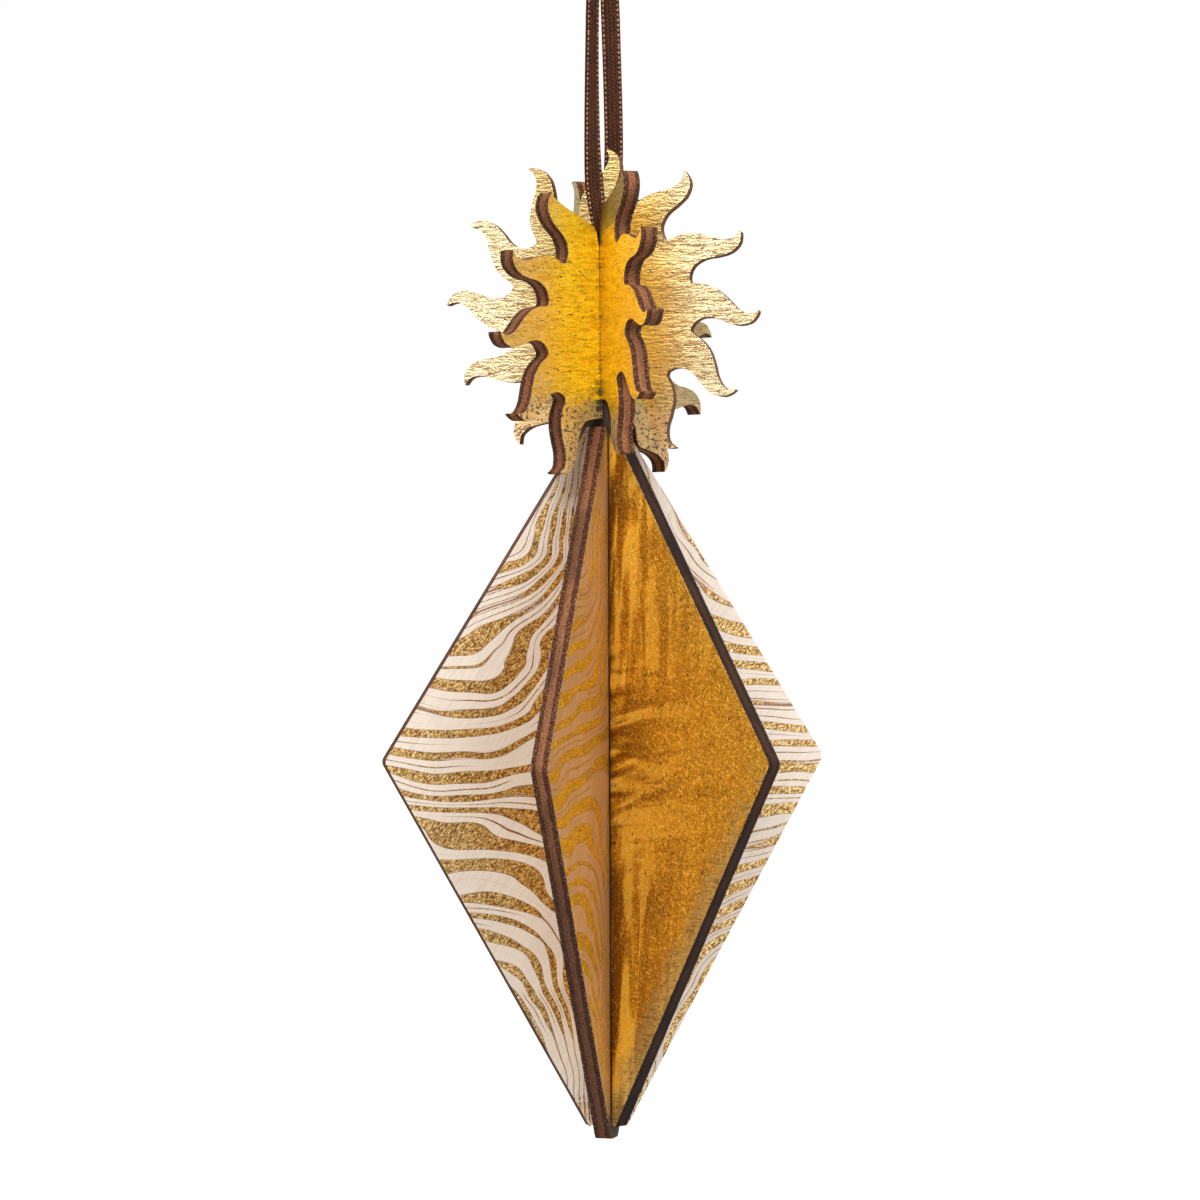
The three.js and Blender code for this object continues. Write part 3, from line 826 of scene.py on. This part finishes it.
class RibbonMesh:
    """A piece of ribbon in the making: its points, their coordinates across, out of and along the band."""

    def __init__(self):
        self.points = []
        self.coords = []
        self.faces = []
        self.stitched = set()

    def add_point(self, point, coords):
        self.points.append(point)
        self.coords.append(coords)

    def join_rings(self, first, rings, size):
        for ring in range(rings - 1):
            for corner in range(size):
                a = first + ring * size + corner
                b = first + ring * size + (corner + 1) % size
                self.faces.append((a, b, b + size, a + size))

    def close_start(self, first, size):
        self.faces.append(tuple(first + corner for corner in reversed(range(size))))

    def add_band(self, sections, thin_ends=False):
        """The band itself, pressed thinner at both ends where these are cut."""
        first = len(self.points)
        size = len(BAND_SECTION)
        last = len(sections) - 1
        for index, section in enumerate(sections):
            thin = CUT_END_THIN if thin_ends and index in (0, last) else 1.0
            for aside, lift in BAND_SECTION:
                self.add_point(
                    section.place
                    + section.across * (aside * section.half_width)
                    + section.out * (lift * thin * RIBBON_THICKNESS / 2),
                    (aside * RIBBON_WIDTH / 2, lift, section.way),
                )
        self.join_rings(first, len(sections), size)
        self.close_start(first, size)
        self.faces.append(tuple(first + last * size + corner for corner in range(size)))

    def add_stitches(self, sections):
        """Raised stitches along both edges of the band, on both of its faces."""
        next_way = STITCH_PITCH / 2
        for section in sections:
            if section.way < next_way:
                continue
            next_way += STITCH_PITCH
            for edge in (-1, 1):
                for face in (-1, 1):
                    self.add_stitch(section, edge, face)

    def add_stitch(self, section, edge, face):
        first = len(self.points)
        top = first + 2 * STITCH_ROUND
        centre = (
            section.place
            + section.across * (edge * STITCH_ASIDE * section.half_width)
            + section.out * (face * RIBBON_THICKNESS * STITCH_SEAT)
        )
        for level, girth in STITCH_PROFILE:
            for corner in range(STITCH_ROUND if girth else 1):
                angle = face * 2 * math.pi * corner / STITCH_ROUND
                self.add_point(
                    centre
                    + section.along * (girth * STITCH_LENGTH * math.cos(angle))
                    + section.across * (girth * STITCH_WIDTH * math.sin(angle))
                    + section.out * (face * level * STITCH_HEIGHT),
                    (edge * RIBBON_WIDTH / 2, face, section.way),
                )
        start = len(self.faces)
        for corner in range(STITCH_ROUND):
            a, b = first + corner, first + (corner + 1) % STITCH_ROUND
            c, d = b + STITCH_ROUND, a + STITCH_ROUND
            self.faces.append((a, b, c, d))
            self.faces.append((d, c, top))
        self.close_start(first, STITCH_ROUND)
        self.stitched.update(range(start, len(self.faces)))

    def add_lump(self):
        """The pleated lump inside the knot."""
        first = len(self.points)
        for girth, level in KNOT_PROFILE:
            for corner in range(KNOT_SIDES):
                angle = 2 * math.pi * corner / KNOT_SIDES
                pleat = 1 + PLEAT_DEPTH * math.sin(PLEATS * angle + PLEAT_SLANT * level)
                radius = girth * KNOT_RADIUS * pleat
                up = level * KNOT_HEIGHT
                self.add_point(
                    Vector((radius * math.cos(angle), radius * math.sin(angle), KNOT_LOW + up)),
                    (radius, 1.0, up + angle),
                )
        self.join_rings(first, len(KNOT_PROFILE), KNOT_SIDES)
        self.close_start(first, KNOT_SIDES)
        top = len(self.points)
        rim = top - KNOT_SIDES
        crown = KNOT_CROWN * KNOT_HEIGHT
        self.add_point(Vector((0, 0, KNOT_LOW + crown)), (0.0, 1.0, crown))
        for corner in range(KNOT_SIDES):
            self.faces.append((rim + corner, rim + (corner + 1) % KNOT_SIDES, top))

    def add_wrap(self, tilt, towards, height, radius):
        """One turn of the band round the knot, tilted towards a side."""
        tilted = Matrix.Rotation(math.radians(tilt), 3, "Y")
        turned = Matrix.Rotation(math.radians(towards), 3, "Z") @ tilted
        first = len(self.points)
        size = len(WRAP_SECTION)
        for ring in range(WRAP_SIDES):
            angle = 2 * math.pi * ring / WRAP_SIDES
            for aside, lift in WRAP_SECTION:
                reach = radius - WRAP_HOLLOW * aside * aside + WRAP_THICKNESS * (lift - 1)
                place = turned @ Vector(
                    (reach * math.cos(angle), reach * math.sin(angle), aside * WRAP_HALF_WIDTH)
                )
                self.add_point(
                    place + Vector((0, 0, height)), (aside * RIBBON_WIDTH / 2, lift, angle * radius)
                )
        for ring in range(WRAP_SIDES):
            this = first + ring * size
            following = first + (ring + 1) % WRAP_SIDES * size
            for corner in range(size):
                after = (corner + 1) % size
                self.faces.append((this + corner, following + corner, following + after, this + after))

    def piece(self, name):
        mesh = bpy.data.meshes.new(name)
        mesh.from_pydata([point * MM for point in self.points], [], self.faces)
        mesh.materials.append(SATIN)
        mesh.materials.append(STITCH)
        for index, polygon in enumerate(mesh.polygons):
            polygon.use_smooth = True
            polygon.material_index = 1 if index in self.stitched else 0
        layer = mesh.attributes.new(RIBBON_COORDS, "FLOAT_VECTOR", "POINT")
        for value, item in zip(self.coords, layer.data):
            item.vector = value
        mesh.validate()
        piece = bpy.data.objects.new(name, mesh)
        scene.collection.objects.link(piece)
        return piece


# Looks of the ribbon; colours are linear, lengths of the weave in mm

SATIN_DARK = (0.024, 0.009, 0.005)
SATIN_BROWN = (0.060, 0.021, 0.011)
# Painted sheen on the threads of the weave
SATIN_SHEEN = (0.14, 0.056, 0.029)
SATIN_TINT = (1.0, 0.6, 0.4, 1)
TWILL_LEAN = 0.9
TWILL_LENGTH = 0.66
WARP_LENGTH = 0.7
SATIN_RELIEF = 0.03
THREAD_DARK = (0.20, 0.08, 0.038)
THREAD_COPPER = (0.45, 0.20, 0.095)
THREAD_TWIST = 0.12
THREAD_RELIEF = 0.02


def ribbon_satin():
    """Dark satin with a fine herringbone of threads, with a soft sheen painted along them."""
    look = Look("ribbon_satin", RIBBON_COORDS)
    lean = look.times(look.size(look.x), TWILL_LEAN)
    twill = look.wave(look.plus(look.z, lean), TWILL_LENGTH)
    warp = look.wave(look.x, WARP_LENGTH)
    weave = look.plus(twill, look.times(warp, 0.7))
    fuzz = look.cloud((2.0, 1, 0.7), detail=3.0, roughness=0.6)
    colour = look.mix(look.step(fuzz, 0.35, 0.7), SATIN_DARK, SATIN_BROWN)
    # Painted sheen along the weave
    colour = look.mix(look.step(weave, 0.2, 1.4, 0.0, 0.65), colour, SATIN_SHEEN)
    return look.finish(
        {
            "Base Color": colour,
            "Roughness": look.step(fuzz, 0.3, 0.7, 0.38, 0.55),
            "Specular IOR Level": 0.12,
            "Specular Tint": SATIN_TINT,
            "Normal": look.bump(look.plus(weave, fuzz), SATIN_RELIEF),
        }
    )


def ribbon_stitch():
    """Copper-brown thread of the stitched edges."""
    look = Look("ribbon_stitch", RIBBON_COORDS)
    twist = look.wave(look.plus(look.z, look.x), THREAD_TWIST)
    shade = look.cloud((0.8, 1, 1.3))
    return look.finish(
        {
            "Base Color": look.mix(look.step(shade, 0.35, 0.65), THREAD_DARK, THREAD_COPPER),
            "Roughness": look.step(shade, 0.3, 0.7, 0.35, 0.5),
            "Normal": look.bump(twist, THREAD_RELIEF),
        }
    )


SATIN = ribbon_satin()
STITCH = ribbon_stitch()


def strand_piece(name, side, route):
    """A strand with its path and its length, both in metres."""
    run = smooth_run(strand_stations(side, route))
    sections = band_sections(run)
    strand = RibbonMesh()
    strand.add_band(sections)
    strand.add_stitches(sections)
    stops = run[::STATIONS_PER_PATH_POINT] + run[-1:]
    path = [tuple(place_of(station) * MM) for station in stops]
    return strand.piece(name), path, sections[-1].way * MM


def knot_piece():
    """The knot: a lump under tilted wraps of the band, and the two cut ends."""
    knot = RibbonMesh()
    knot.add_lump()
    for tilt, towards, lift, girth in WRAPS:
        knot.add_wrap(tilt, towards, KNOT_LOW + KNOT_HEIGHT / 2 + lift, girth * KNOT_RADIUS)
    for side in (-1, 1):
        sections = band_sections(smooth_run(tail_stations(side)))
        knot.add_band(sections, thin_ends=True)
        knot.add_stitches(sections)
    return knot.piece("ribbon_knot_tied")


knot = knot_piece()
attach(knot, "hanger")
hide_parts("ribbon_knot")

for name, side, route in (
    ("ribbon_front_strand", -1, FRONT_ROUTE),
    ("ribbon_rear_strand", 1, REAR_ROUTE),
):
    strand, path, length = strand_piece(name + "_woven", side, route)
    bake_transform(strand)
    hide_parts(name)


# Studio: pale floor, white surroundings, soft lamps in front, to the right and behind

FLOOR_LEVEL = -0.45
FLOOR_SIZE = 30.0
FLOOR_GREY = (0.52, 0.52, 0.52, 1)
FLOOR_ROUGHNESS = 0.9
FLOOR_SPECULAR = 0.1
# The floor glows plain white away from the bauble, and keeps the shadow under it
FLOOR_FADE = (0.7, 3.0)
FLOOR_GLOW = (0.25, 1.0)
# Brightness of the surroundings: for plain surfaces, and as the foil mirrors them in front, at the sides,
# more in a window on the right, and behind
AMBIENT = 0.38
ROOM_FRONT = 0.42
ROOM_SIDES = 0.9
ROOM_WINDOW = 0.8
ROOM_BEHIND = 0.5
# Where those parts fade: the sides and window by how far a direction points right, the rear by how far back
LEFT_SIDE = (-0.30, -0.16)
RIGHT_SIDE = (0.35, 0.65)
WINDOW = (0.63, 0.74)
REAR = (-0.3, 0.2)
LAMP_AIM = Vector((0, 0, -110 * MM))
LAMPS = [
    # name, azimuth from the front to the right, elevation, distance, size, power
    ("key", -12, 38, 2.6, 1.7, 53.0),
    ("fill", 62, 36, 2.8, 2.1, 53.0),
    ("back", 180, 45, 2.8, 2.1, 42.0),
]


def floor_look():
    look = bpy.data.materials.new("floor")
    look.use_nodes = True
    nodes = Nodes(look.node_tree)
    seen = nodes.add("ShaderNodeLightPath", {}, "Is Camera Ray")
    place = nodes.add("ShaderNodeNewGeometry", {}, "Position")
    away = nodes.add("ShaderNodeVectorMath", {0: place}, "Value", operation="LENGTH")
    glow = nodes.blend(seen, 0.0, nodes.slide(away, *FLOOR_FADE, *FLOOR_GLOW))
    nodes.fill(
        SHADER,
        {
            "Base Color": FLOOR_GREY,
            "Roughness": FLOOR_ROUGHNESS,
            "Specular IOR Level": FLOOR_SPECULAR,
            "Emission Color": WHITE,
            "Emission Strength": glow,
        },
    )
    return look


def floor_piece():
    half = FLOOR_SIZE / 2
    corners = [(-half, -half), (half, -half), (half, half), (-half, half)]
    mesh = bpy.data.meshes.new("floor")
    mesh.from_pydata([(x, y, FLOOR_LEVEL) for x, y in corners], [], [(0, 1, 2, 3)])
    mesh.materials.append(floor_look())
    floor = bpy.data.objects.new("floor", mesh)
    scene.collection.objects.link(floor)
    return floor


def surroundings():
    """White to the camera, an even light for plain surfaces, and a room with bright sides for the foil."""
    world = bpy.data.worlds.new("studio")
    world.use_nodes = True
    nodes = Nodes(world.node_tree)
    rays = world.node_tree.nodes.new("ShaderNodeLightPath").outputs
    x, y, _ = nodes.split(nodes.add("ShaderNodeTexCoord", {}, "Generated"))
    sides = nodes.most(nodes.slide(x, *LEFT_SIDE, 1, 0), nodes.slide(x, *RIGHT_SIDE))
    room = nodes.blend(sides, ROOM_FRONT, ROOM_SIDES)
    room = nodes.plus(room, nodes.slide(x, *WINDOW, 0, ROOM_WINDOW))
    room = nodes.blend(nodes.slide(y, *REAR), room, ROOM_BEHIND)
    strength = nodes.blend(rays["Is Glossy Ray"], AMBIENT, room)
    strength = nodes.blend(rays["Is Camera Ray"], strength, 1.0)
    nodes.fill("Background", {"Color": WHITE, "Strength": strength})
    return world


def soft_lamp(name, azimuth, elevation, distance, size, power):
    """A square soft lamp that looks at the bauble."""
    data = bpy.data.lights.new(name, "AREA")
    data.shape = "SQUARE"
    data.size = size
    data.energy = power
    lamp = bpy.data.objects.new(name, data)
    a, e = math.radians(azimuth), math.radians(elevation)
    away = Vector((math.sin(a) * math.cos(e), -math.cos(a) * math.cos(e), math.sin(e)))
    lamp.location = LAMP_AIM + away * distance
    lamp.rotation_euler = (-away).to_track_quat("-Z", "Y").to_euler()
    scene.collection.objects.link(lamp)


floor_piece()
scene.world = surroundings()
for lamp in LAMPS:
    soft_lamp(*lamp)

scene.view_settings.view_transform = "Standard"
